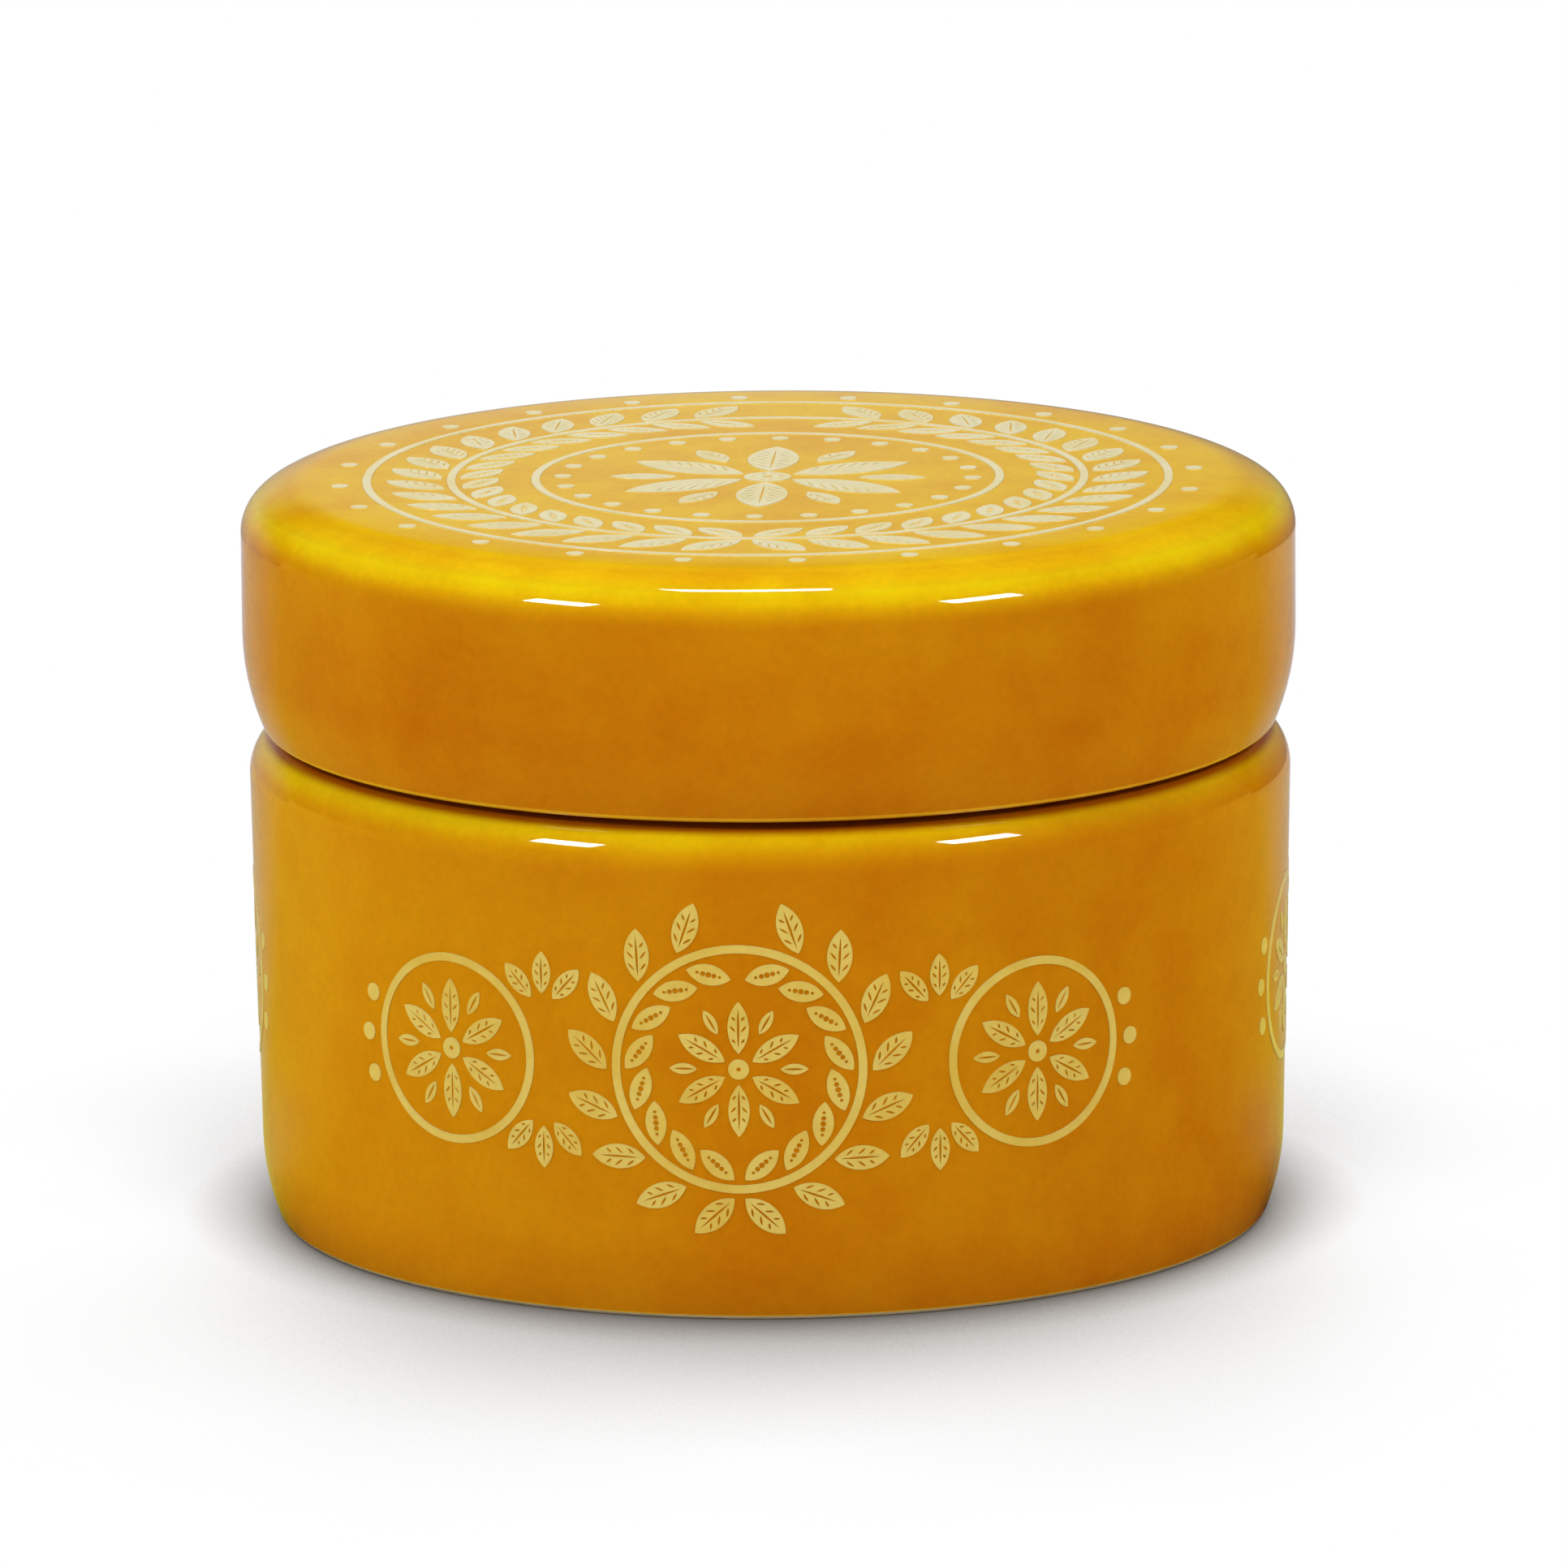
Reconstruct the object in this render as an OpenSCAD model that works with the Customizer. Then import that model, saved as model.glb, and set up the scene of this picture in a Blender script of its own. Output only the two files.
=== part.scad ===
// A round glazed ceramic box with a lift-off lid, in millimetres.
// The origin is the middle of the circle that the box stands on, +Z is up and -Y is the front.

/* [Base] */
// Outer diameter of the base at its rim, before the shoulder is rounded
base_d = 89.2; // [80:0.2:110]
// Height of the base from the table to the seam
base_h = 42.6; // [40:0.2:60]
// How far the outer wall leans in on each side on its way down to the foot
wall_lean = 0.8; // [0.2:0.1:1.6]
// Thickness of the side wall at the rim
wall_t = 5.6; // [5:0.1:7]
// Thickness of the floor
floor_t = 5; // [3.6:0.1:7]
// Radius of the outer shoulder under the seam
shoulder_r = 4; // [2:0.1:4.2]
// Radius of the rim's inner edge
rim_r = 0.6; // [0.3:0.1:0.8]
// Radius where the floor turns up into the wall, inside
floor_r = 6; // [2:0.5:10]

/* [Foot] */
// How far the wall rolls in at the foot
foot_roll = 1.1; // [0.4:0.1:1.8]
// Height over which the wall rolls in at the foot
foot_roll_h = 6.3; // [4:0.1:8]
// Radius of the foot's outer edge
foot_edge_r = 0.8; // [0.4:0.1:1.2]
// Width of the bare ring that the box stands on
foot_ring_w = 4.5; // [3:0.1:7]
// Depth of the recess inside the foot ring
foot_recess = 1.2; // [0.6:0.1:1.6]
// Radius of the recess's edge and corner
recess_r = 0.5; // [0.2:0.05:0.55]

/* [Lid] */
// Height of the lid from the seam to its flat top
lid_h = 20.9; // [19:0.1:28]
// How far the lid stands out past the base all round
lid_overhang = 0.4; // [0:0.1:1.2]
// How far the lid's wall rolls in at the seam
lid_roll = 1.45; // [0.6:0.05:2]
// Height over which the lid's wall rolls in at the seam
lid_roll_h = 7.5; // [5:0.1:8]
// Radius of the lid's lower edge
lid_edge_r = 0.8; // [0.4:0.1:1.2]
// Radius of the outer part of the lid's top edge
lid_rim_r = 3.5; // [2:0.1:4]
// Radius of the gentler inner part of the lid's top edge
lid_brow_r = 8.2; // [4:0.1:10]
// Slope at which the two parts of the top edge meet
lid_brow_angle = 30; // [20:1:40]

/* [Inside the lid] */
// Thickness of the lid's top
lid_top_t = 5; // [4:0.1:6]
// Thickness of the lid's side wall
lid_wall_t = 5; // [4.6:0.1:6]
// Thickness of the lid's ledge that rests on the rim
lid_ledge_t = 4.2; // [3.4:0.1:5]
// Radius of the lid's hollow under the top
lid_hollow_r = 4; // [2:0.1:5]
// Radius of the lid's hollow above the ledge
lid_ledge_r = 1.6; // [0.8:0.1:2]
// How far the locating ring reaches down inside the base
ring_h = 5; // [3:0.1:8]
// Thickness of the locating ring
ring_t = 3.6; // [3:0.1:5]
// Radius of the locating ring's lower edges
ring_edge_r = 1.2; // [0.4:0.1:1.4]
// Play between the locating ring and the base's mouth, all round
ring_gap = 0.8; // [0.4:0.1:1.5]

/* [Printed layer] */
// Thickness of the fired-on print
print_t = 0.12; // [0.08:0.01:0.3]
// Bare glaze left between two printed shapes that nearly meet
print_gap = 0.45; // [0.3:0.05:0.6]
// Width of a printed line
line_w = 0.7; // [0.4:0.1:1]
// Diameter of a printed dot
dot_d = 1.5; // [0.8:0.1:1.8]

/* [Medallions on the wall] */
// Height of the medallions' middle above the table
medallion_z = 21.9; // [21.5:0.1:23]
// Diameter of the wreath's stem in the large medallion
wreath_d = 20.6; // [19:0.2:21]
// Length of an outer leaf of the wreath
leaf_l = 4.5; // [3.6:0.1:4.8]
// Width of an outer leaf of the wreath
leaf_w = 2.1; // [1.4:0.1:2.3]
// Diameter of the star in the large medallion
star_d = 11.6; // [8:0.1:12]
// Distance along the wall from the large medallion's middle to a small one's
small_s = 26; // [25:0.1:27]
// Diameter of the line round a small medallion
small_ring_d = 15.6; // [14:0.1:16]
// Diameter of the star in a small medallion
small_star_d = 12; // [9:0.1:13]
// Distance along the wall from the large medallion's middle to the fans of leaves
fan_s = 17; // [16.8:0.1:17.4]
// Height of a fan's root above or below the medallions' middle
fan_z = 4.2; // [4:0.1:5]

/* [Medallion on the lid] */
// Diameter of the wreath's stem on the lid
lid_wreath_d = 54; // [53:0.5:55]
// Length of an outer leaf of the lid's wreath
lid_leaf_l = 6.4; // [5:0.1:7]
// Width of an outer leaf of the lid's wreath
lid_leaf_w = 2.8; // [1.6:0.1:3]
// Diameter of the star on the lid
lid_star_d = 27; // [22:0.1:30]
// Diameter of the circle of dots round the lid's star
inner_dots_d = 35; // [33:0.1:36]
// Diameter of the line inside the lid's wreath
inner_line_d = 39.6; // [39:0.1:40]
// Diameter of the line outside the lid's wreath
outer_line_d = 68.4; // [68:0.1:69]
// Diameter of the outermost circle of dots on the lid
outer_dots_d = 73; // [72.4:0.1:74]

/* [Hidden] */
$fn = 96;
glaze = "goldenrod";
cream = "moccasin";

base_r = base_d / 2;
mouth_r = base_r - wall_t;
foot_wall_r = base_r - wall_lean;
floor_z = foot_recess + floor_t;
lid_r = base_r + lid_overhang;
lid_top_z = base_h + lid_h;
ring_r = mouth_r - ring_gap;
ring_in_r = ring_r - ring_t;
ring_z = base_h - ring_h;

// Counts, angles, and sizes given as shares of the piece that carries them
print_step = 120;
wreath_steps = 8;
lid_wreath_steps = 18;
branch_angle = 172;
leaf_spread = 42;
inner_leaf_share = 0.84;
fan_spread = 42;
fan_leaf_share = 0.8;
dot_count = 24;
star_arms = 6;
star_hub_share = 0.15;
petal_width_share = 0.4;
small_petal_share = 0.52;
end_dot_spread = 21;

// A wall that rolls in by in_w over a height h follows one arc: its end slope and its radius
function roll_slope(in_w, h) = 2 * atan(in_w / h);
function roll_radius(in_w, h) = (in_w ^ 2 + h ^ 2) / (2 * in_w);
function roll_tangent(in_w, h) = roll_radius(in_w, h) * tan(roll_slope(in_w, h) / 2);

// The base's outer wall is a straight cone between its rim corner and its foot corner
foot_corner_z = foot_edge_r + foot_roll_h - roll_tangent(foot_roll, foot_roll_h);
foot_r = foot_wall_r - foot_roll - foot_edge_r * tan(roll_slope(foot_roll, foot_roll_h));
foot_in_r = foot_r - foot_ring_w;
function wall_r(z) = foot_wall_r + wall_lean * (z - foot_corner_z) / (base_h - foot_corner_z);

// The lid's top edge turns through two arcs that touch each other
brow_l = lid_rim_r * tan((90 - lid_brow_angle) / 2) + lid_brow_r * tan(lid_brow_angle / 2);
lid_seat_r = lid_r - lid_roll - lid_edge_r * tan(roll_slope(lid_roll, lid_roll_h));
lid_roll_z = base_h + lid_edge_r + lid_roll_h - roll_tangent(lid_roll, lid_roll_h);

// Corners of the two sections, each as [radius, height, rounding]
base_corners = [
    [0, foot_recess, 0],
    [foot_in_r, foot_recess, recess_r],
    [foot_in_r, 0, recess_r],
    [foot_r, 0, foot_edge_r],
    [foot_wall_r, foot_corner_z, roll_radius(foot_roll, foot_roll_h)],
    [base_r, base_h, shoulder_r],
    [mouth_r, base_h, rim_r],
    [mouth_r, floor_z, floor_r],
    [0, floor_z, 0]
];
lid_corners = [
    [0, lid_top_z - lid_top_t, 0],
    [lid_r - lid_wall_t, lid_top_z - lid_top_t, lid_hollow_r],
    [lid_r - lid_wall_t, base_h + lid_ledge_t, lid_ledge_r],
    [ring_in_r, base_h + lid_ledge_t, lid_ledge_r],
    [ring_in_r, ring_z, ring_edge_r],
    [ring_r, ring_z, ring_edge_r],
    [ring_r, base_h, rim_r],
    [lid_seat_r, base_h, lid_edge_r],
    [lid_r, lid_roll_z, roll_radius(lid_roll, lid_roll_h)],
    [lid_r, lid_top_z - brow_l * sin(lid_brow_angle), lid_rim_r],
    [lid_r - brow_l * cos(lid_brow_angle), lid_top_z, lid_brow_r],
    [0, lid_top_z, 0]
];

// Geometry of one rounded corner of an outline
function at(c, i) = let (p = c[(i + len(c)) % len(c)]) [p.x, p.y];
function heading(c, i) = let (v = at(c, i + 1) - at(c, i)) v / norm(v);
function bend(c, i) = cross(heading(c, i - 1), heading(c, i));
function tangent_l(c, i) = c[i].z * tan(acos(heading(c, i - 1) * heading(c, i)) / 2);
function arc_start(c, i) = at(c, i) - tangent_l(c, i) * heading(c, i - 1);
function arc_end(c, i) = at(c, i) + tangent_l(c, i) * heading(c, i);
function arc_centre(c, i) = let (h = heading(c, i - 1))
    arc_start(c, i) + sign(bend(c, i)) * c[i].z * [-h.y, h.x];

// The sliver between the chord and the arc of one rounded corner
module corner_sliver(c, i) {
    intersection() {
        translate(arc_centre(c, i)) circle(c[i].z);
        polygon([arc_start(c, i), at(c, i), arc_end(c, i)]);
    }
}

// An outline that runs anticlockwise, with a true arc at each rounded corner
module rounded_outline(c) {
    rounded = [for (i = [0:len(c) - 1]) if (c[i].z > 0) i];
    chords = [for (i = [0:len(c) - 1]) each c[i].z > 0 ? [arc_start(c, i), arc_end(c, i)] : [at(c, i)]];
    difference() {
        union() {
            polygon(chords);
            for (i = rounded) if (bend(c, i) > 0) corner_sliver(c, i);
        }
        for (i = rounded) if (bend(c, i) < 0) corner_sliver(c, i);
    }
}

// Flat printed shapes
module leaf_shape(l, w) {
    r = (l ^ 2 + w ^ 2) / (4 * w);
    intersection() {
        translate([l / 2, r - w / 2]) circle(r);
        translate([l / 2, w / 2 - r]) circle(r);
    }
}

module ring_line(d) {
    difference() {
        circle(d / 2 + line_w / 2);
        circle(d / 2 - line_w / 2);
    }
}

// Six long petals and six short ones round a dot
module star(d) {
    hub_r = d / 2 * star_hub_share;
    petal_l = d / 2 - hub_r - print_gap;
    small_l = petal_l * small_petal_share;
    circle(hub_r);
    for (i = [0:star_arms - 1])
        rotate(90 + i * 360 / star_arms) {
            translate([d / 2 - petal_l, 0]) leaf_shape(petal_l, petal_l * petal_width_share);
            rotate(180 / star_arms)
                translate([d / 2 - small_l, 0])
                leaf_shape(small_l, small_l * petal_width_share);
        }
}

// A pair of leaves that leans forward from one place on a stem that runs along +X
module leaf_pair(l, w) {
    for (side = [-1, 1]) {
        share = side < 0 ? 1 : inner_leaf_share;
        translate([0, side * (line_w / 2 + print_gap)])
            rotate(side * leaf_spread)
            leaf_shape(share * l, share * w);
    }
}

// A wreath: a round stem, and leaves that climb it on both sides from the bottom to the top
module wreath(d, steps, l, w) {
    ring_line(d);
    for (flip = [0, 1])
        mirror([flip, 0])
            for (i = [0:steps - 1])
                rotate(i * branch_angle / steps) translate([print_gap, -d / 2]) leaf_pair(l, w);
}

module dot_circle(d, start) {
    for (i = [0:dot_count - 1])
        rotate(start + i * 360 / dot_count) translate([d / 2, 0]) circle(dot_d / 2);
}

module fan() {
    for (a = [-fan_spread, 0, fan_spread])
        rotate(a) translate([dot_d, 0]) leaf_shape(fan_leaf_share * leaf_l, fan_leaf_share * leaf_w);
}

// Lays a flat shape on the wall, along by s from the print's middle and at height z.
// The shape reaches out from there by reach, and the wall curves away under it.
module on_wall(s, z, reach) {
    behind = line_w + reach ^ 2 / base_r;
    rotate([0, 0, s / wall_r(z) * 180 / PI])
        translate([0, behind - wall_r(z), z])
        rotate([90, 0, 0])
        linear_extrude(behind + line_w)
        children();
}

// The layer that the wall's print is cut from: a thin cone over the straight part of the wall
module print_layer() {
    low = foot_edge_r + foot_roll_h;
    high = base_h - shoulder_r;
    rotate_extrude() polygon([
        [wall_r(low), low],
        [wall_r(low) + print_t, low],
        [wall_r(high) + print_t, high],
        [wall_r(high), high]
    ]);
}

module large_medallion() {
    on_wall(0, medallion_z, wreath_d / 2 + leaf_l) {
        star(star_d);
        wreath(wreath_d, wreath_steps, leaf_l, leaf_w);
    }
}

module small_medallion(side) {
    on_wall(side * small_s, medallion_z, small_ring_d / 2) {
        star(small_star_d);
        ring_line(small_ring_d);
    }
    for (up = [-1, 1]) {
        on_wall(side * fan_s, medallion_z + up * fan_z, leaf_l + dot_d) rotate(up * 90) fan();
    }
    // Three dots follow the far side of the ring
    end_r = small_ring_d / 2 + dot_d + print_gap;
    for (a = [-end_dot_spread, 0, end_dot_spread])
        on_wall(side * (small_s + end_r * cos(a)), medallion_z + end_r * sin(a), dot_d) circle(dot_d / 2);
}

module base_print(turn) {
    color(cream) rotate([0, 0, turn]) intersection() {
        print_layer();
        union() {
            large_medallion();
            for (side = [-1, 1]) small_medallion(side);
        }
    }
}

module base() {
    color(glaze) rotate_extrude() rounded_outline(base_corners);
}

module lid() {
    color(glaze) rotate_extrude() rounded_outline(lid_corners);
}

module lid_print() {
    color(cream) translate([0, 0, lid_top_z]) linear_extrude(print_t) {
        star(lid_star_d);
        dot_circle(inner_dots_d, 0);
        ring_line(inner_line_d);
        wreath(lid_wreath_d, lid_wreath_steps, lid_leaf_l, lid_leaf_w);
        ring_line(outer_line_d);
        dot_circle(outer_dots_d, 180 / dot_count);
    }
}

base();
lid();
lid_print();
base_print(0);  // base_print_front
base_print(print_step);  // base_print_right
base_print(2 * print_step);  // base_print_left
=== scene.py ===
import cmath
import math
from collections import namedtuple

import bpy
from mathutils import Matrix, Vector
from mathutils.geometry import delaunay_2d_cdt


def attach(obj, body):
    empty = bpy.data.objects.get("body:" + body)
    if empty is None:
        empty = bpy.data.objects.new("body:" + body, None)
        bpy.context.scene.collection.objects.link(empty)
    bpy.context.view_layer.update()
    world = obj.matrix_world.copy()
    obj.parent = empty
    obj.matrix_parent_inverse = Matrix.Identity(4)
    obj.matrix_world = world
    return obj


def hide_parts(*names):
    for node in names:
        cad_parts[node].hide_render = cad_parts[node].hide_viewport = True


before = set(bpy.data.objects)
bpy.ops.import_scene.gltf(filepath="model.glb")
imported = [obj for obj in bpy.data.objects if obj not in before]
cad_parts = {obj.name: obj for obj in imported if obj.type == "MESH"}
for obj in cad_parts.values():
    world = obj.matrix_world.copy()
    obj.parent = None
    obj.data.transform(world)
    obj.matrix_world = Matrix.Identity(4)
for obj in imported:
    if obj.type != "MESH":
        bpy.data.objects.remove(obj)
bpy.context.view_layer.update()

# A round glazed ceramic box with a lift-off lid. Sizes here are in millimetres, and the meshes are
# scaled to metres when they are made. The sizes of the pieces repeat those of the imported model.
MM = 0.001

# Base and foot
base_r = 44.6
base_h = 42.6
wall_lean = 0.8
mouth_r = 39.0
floor_z = 6.2
shoulder_r = 4.0
rim_r = 0.6
floor_corner_r = 6.0
foot_roll = 1.1
foot_roll_h = 6.3
foot_edge_r = 0.8
foot_ring_w = 4.5
foot_recess = 1.2
recess_r = 0.5
foot_clay_h = 0.35
rim_clay_margin = 0.4
seat_play = 0.01

# Lid
lid_r = 45.0
lid_top_z = 63.5
lid_roll = 1.45
lid_roll_h = 7.5
lid_edge_r = 0.8
lid_rim_r = 3.5
lid_brow_r = 8.2
lid_brow_angle = math.radians(30)
brow_play = 0.001
ease_start_r = 35.0
ease_angle = math.radians(2.4)
lid_top_t = 5.0
lid_wall_t = 5.0
lid_ledge_t = 4.2
lid_hollow_r = 4.0
lid_ledge_r = 1.6
ring_z = 37.6
ring_r = 38.2
ring_in_r = 34.6
ring_edge_r = 1.2

# Prints
print_gap = 0.45
line_w = 0.7
dot_d = 1.5
print_proud = 0.06
print_sunk = 0.03
medallion_z = 21.9
wreath_d = 20.6
leaf_l = 4.5
leaf_w = 2.1
star_d = 11.6
small_s = 26.0
small_ring_d = 15.6
small_star_d = 12.0
fan_s = 17.0
fan_z = 4.2
lid_wreath_d = 54.0
lid_leaf_l = 6.4
lid_leaf_w = 2.8
lid_star_d = 27.0
inner_dots_d = 35.0
inner_line_d = 39.6
outer_line_d = 68.4
outer_dots_d = 73.0
wreath_steps = 8
lid_wreath_steps = 18
branch_angle = 172
leaf_spread = 42
inner_leaf_share = 0.84
fan_spread = 42
fan_leaf_share = 0.8
dot_count = 24
star_arms = 6
star_hub_share = 0.15
petal_width_share = 0.4
small_petal_share = 0.52
end_dot_spread = 21

# Fine detail inside the printed shapes
slit_w = 0.2
slit_gap = 0.14
vein_angle = math.radians(40)
vein_step = 0.02
vein_margin = 0.2
vein_min_l = 0.35
midrib_start = 0.1
midrib_end = 0.86
vein_span = 0.74
bead_count = 5
bead_d = 0.42
bead_start = 0.12
bead_span = 0.76
bead_least = 0.6
bead_swell = 0.8
hub_gap_share = 0.22
hub_ring_from_d = 3.0
hub_ring_share = 0.31
hub_dot_share = 0.11
hub_dot_count = 10
wall_veins = 3
lid_veins = 4
lid_star_veins = 6

# How finely round things are divided
SEGMENTS = 288
ARC_STEP = math.radians(4)
LEAF_STEPS = 12
MIDRIB_STEPS = 8
VEIN_STEPS = 4
DOT_STEPS = 24
GAP_STEPS = 12
HUB_STEPS = 36
HUB_DOT_STEPS = 10
LEAST_RING_STEPS = 72
RING_STEPS_PER_MM = 4


def roll_slope(inward, height):
    """The end slope of a wall that rolls in by inward over height along one arc."""
    return 2 * math.atan(inward / height)


def roll_radius(inward, height):
    return (inward ** 2 + height ** 2) / (2 * inward)


def roll_tangent(inward, height):
    return roll_radius(inward, height) * math.tan(roll_slope(inward, height) / 2)


foot_wall_r = base_r - wall_lean
foot_corner_z = foot_edge_r + foot_roll_h - roll_tangent(foot_roll, foot_roll_h)
foot_r = foot_wall_r - foot_roll - foot_edge_r * math.tan(roll_slope(foot_roll, foot_roll_h))
foot_in_r = foot_r - foot_ring_w
brow_tangent = lid_brow_r * math.tan(lid_brow_angle / 2)
brow_l = lid_rim_r * math.tan((math.pi / 2 - lid_brow_angle) / 2) + brow_tangent
ease_end_r = lid_r - brow_l * math.cos(lid_brow_angle) - brow_tangent
lid_seat_r = lid_r - lid_roll - lid_edge_r * math.tan(roll_slope(lid_roll, lid_roll_h))
lid_roll_z = base_h + lid_edge_r + lid_roll_h - roll_tangent(lid_roll, lid_roll_h)
wall_slope = math.atan(wall_lean / (base_h - foot_corner_z))


def eased_tilt(r, tilt):
    """The tilt that the lid's top is shaded with, where it starts to fall towards its rounded edge."""
    share = min(max((r - ease_start_r) / (ease_end_r - ease_start_r), 0), 1)
    return max(tilt, ease_angle * share ** 2 + tilt * (1 - ease_angle / lid_brow_angle))


def wall_r(z):
    """Radius of the base's outer wall, a steep cone, at height z."""
    return foot_wall_r + wall_lean * (z - foot_corner_z) / (base_h - foot_corner_z)


# Corners of the two turned sections, each as [radius, height, rounding], anticlockwise
base_corners = [
    [0, foot_recess, 0],
    [foot_in_r, foot_recess, recess_r],
    [foot_in_r, 0, recess_r],
    [foot_r, 0, foot_edge_r],
    [foot_wall_r, foot_corner_z, roll_radius(foot_roll, foot_roll_h)],
    [base_r, base_h, shoulder_r],
    [mouth_r, base_h, rim_r],
    [mouth_r, floor_z, floor_corner_r],
    [0, floor_z, 0],
]
lid_corners = [
    [0, lid_top_z - lid_top_t, 0],
    [lid_r - lid_wall_t, lid_top_z - lid_top_t, lid_hollow_r],
    [lid_r - lid_wall_t, base_h + lid_ledge_t, lid_ledge_r],
    [ring_in_r, base_h + lid_ledge_t, lid_ledge_r],
    [ring_in_r, ring_z, ring_edge_r],
    [ring_r, ring_z, ring_edge_r],
    [ring_r, base_h, rim_r],
    [lid_seat_r, base_h, lid_edge_r],
    [lid_r, lid_roll_z, roll_radius(lid_roll, lid_roll_h)],
    [lid_r, lid_top_z - brow_l * math.sin(lid_brow_angle), lid_rim_r],
    [lid_r - brow_l * math.cos(lid_brow_angle), lid_top_z, lid_brow_r],
    [ease_start_r, lid_top_z, 0],
    [0, lid_top_z, 0],
]


# Turned pieces

def section(corners):
    """Points of a rounded section as (radius, height, normal's radius part, normal's height part)."""
    points = []
    for i, (r, z, rounding) in enumerate(corners):
        here = complex(r, z)
        before = here - complex(*corners[i - 1][:2])
        after = complex(*corners[(i + 1) % len(corners)][:2]) - here
        if rounding == 0:
            along = after if i == 0 else before
            normal = -1j * along / abs(along)
            points.append((r, z, normal.real, normal.imag))
            continue
        turn = cmath.phase(after / before)
        before /= abs(before)
        side = math.copysign(1, turn)
        start = here - before * rounding * math.tan(abs(turn) / 2)
        centre = start + side * rounding * 1j * before
        steps = max(2, math.ceil(abs(turn) / ARC_STEP))
        for k in range(steps + 1):
            normal = -1j * before * cmath.exp(1j * turn * k / steps)
            p = centre + side * rounding * normal
            points.append((p.real, p.imag, normal.real, normal.imag))
    return points


def make_object(name, points, faces, normals, material):
    """A mesh object from points in millimetres, with the shading normal of each face corner."""
    mesh = bpy.data.meshes.new(name)
    mesh.from_pydata([Vector(p) * MM for p in points], [], faces)
    mesh.shade_smooth()
    mesh.normals_split_custom_set(normals)
    mesh.materials.append(material)
    obj = bpy.data.objects.new(name, mesh)
    bpy.context.scene.collection.objects.link(obj)
    return obj


def wiped_share(r, z):
    """1 where the glaze is wiped off: on the foot ring, the base's rim and the ledge that rests on it."""
    on_foot = z < foot_clay_h and r > foot_in_r - recess_r
    on_rim = abs(z - base_h) < seat_play and r < base_r - shoulder_r + rim_clay_margin
    return float(on_foot or on_rim)


def turned(name, corners, material):
    """A closed solid of revolution, shaded with the section's own normals."""
    points, point_normals, wiped, rings, faces = [], [], [], [], []
    for r, z, out, up in section(corners):
        if up > math.cos(lid_brow_angle) - brow_play and z > lid_top_z - lid_rim_r:
            tilt = eased_tilt(r, math.atan2(out, up))
            out, up = math.sin(tilt), math.cos(tilt)
        count = SEGMENTS if r > 0 else 1
        wiped += [wiped_share(r, z)] * count
        rings.append([len(points) + k for k in range(count)])
        for k in range(count):
            a = 2 * math.pi * k / SEGMENTS
            points.append((r * math.cos(a), r * math.sin(a), z))
            point_normals.append((out * math.cos(a), out * math.sin(a), up))
    for low, high in zip(rings, rings[1:]):
        for k in range(SEGMENTS):
            n = (k + 1) % SEGMENTS
            if len(low) == 1:
                faces.append([low[0], high[n], high[k]])
            elif len(high) == 1:
                faces.append([low[k], low[n], high[0]])
            else:
                faces.append([low[k], low[n], high[n], high[k]])
    normals = [point_normals[i] for face in faces for i in face]
    obj = make_object(name, points, faces, normals, material)
    obj.data.attributes.new("wiped", "FLOAT", "POINT").data.foreach_set("value", wiped)
    return obj


# Flat printed shapes. A point is a complex number, x + y * 1j.

Shape = namedtuple("Shape", "points triangles rims")


def is_inside(p, loops):
    """True where p lies inside an odd number of loops."""
    crossings = 0
    for loop in loops:
        for a, b in zip(loop, loop[1:] + loop[:1]):
            if (a.imag > p.imag) != (b.imag > p.imag):
                x = a.real + (p.imag - a.imag) * (b.real - a.real) / (b.imag - a.imag)
                crossings += x > p.real
    return crossings % 2 == 1


def shape(*loops):
    """The flat shape between an outline and the slits in it."""
    corners, edges = [], []
    for loop in loops:
        first = len(corners)
        corners += loop
        edges += [(first + i, first + (i + 1) % len(loop)) for i in range(len(loop))]
    made = delaunay_2d_cdt([Vector((p.real, p.imag)) for p in corners], edges, [], 1, 1e-7)
    points = [complex(*p) for p in made[0]]
    triangles = [t for t in made[2] if is_inside(sum(points[i] for i in t) / 3, loops)]
    sides = {(t[i], t[(i + 1) % 3]) for t in triangles for i in range(3)}
    rims = sorted((a, b) for a, b in sides if (b, a) not in sides)
    return Shape(points, triangles, rims)


def moved(flat, turn=0.0, to=0j):
    """The shape turned by degrees about zero and then moved."""
    spin = cmath.exp(1j * math.radians(turn))
    return flat._replace(points=[p * spin + to for p in flat.points])


def mirrored(flat):
    """The shape with left and right swapped."""
    return Shape(
        [-p.conjugate() for p in flat.points],
        [t[::-1] for t in flat.triangles],
        [(b, a) for a, b in flat.rims],
    )


def oval(start, end, width, steps=MIDRIB_STEPS):
    """Outline of a pointed oval between two points: two arcs, anticlockwise."""
    length = abs(end - start)
    radius = (length ** 2 + width ** 2) / (4 * width)
    half = math.asin(length / 2 / radius)
    along = (end - start) / length
    outline = []
    for side in (-1, 1):
        for k in range(steps):
            angle = half * (2 * k / steps - 1)
            u = radius * math.sin(angle)
            v = radius * math.cos(angle) - radius + width / 2
            outline.append((start + end) / 2 + along * complex(-side * u, side * v))
    return outline


def disc(d, centre=0j, steps=DOT_STEPS):
    return [centre + d / 2 * cmath.exp(2j * math.pi * k / steps) for k in range(steps)]


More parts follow.
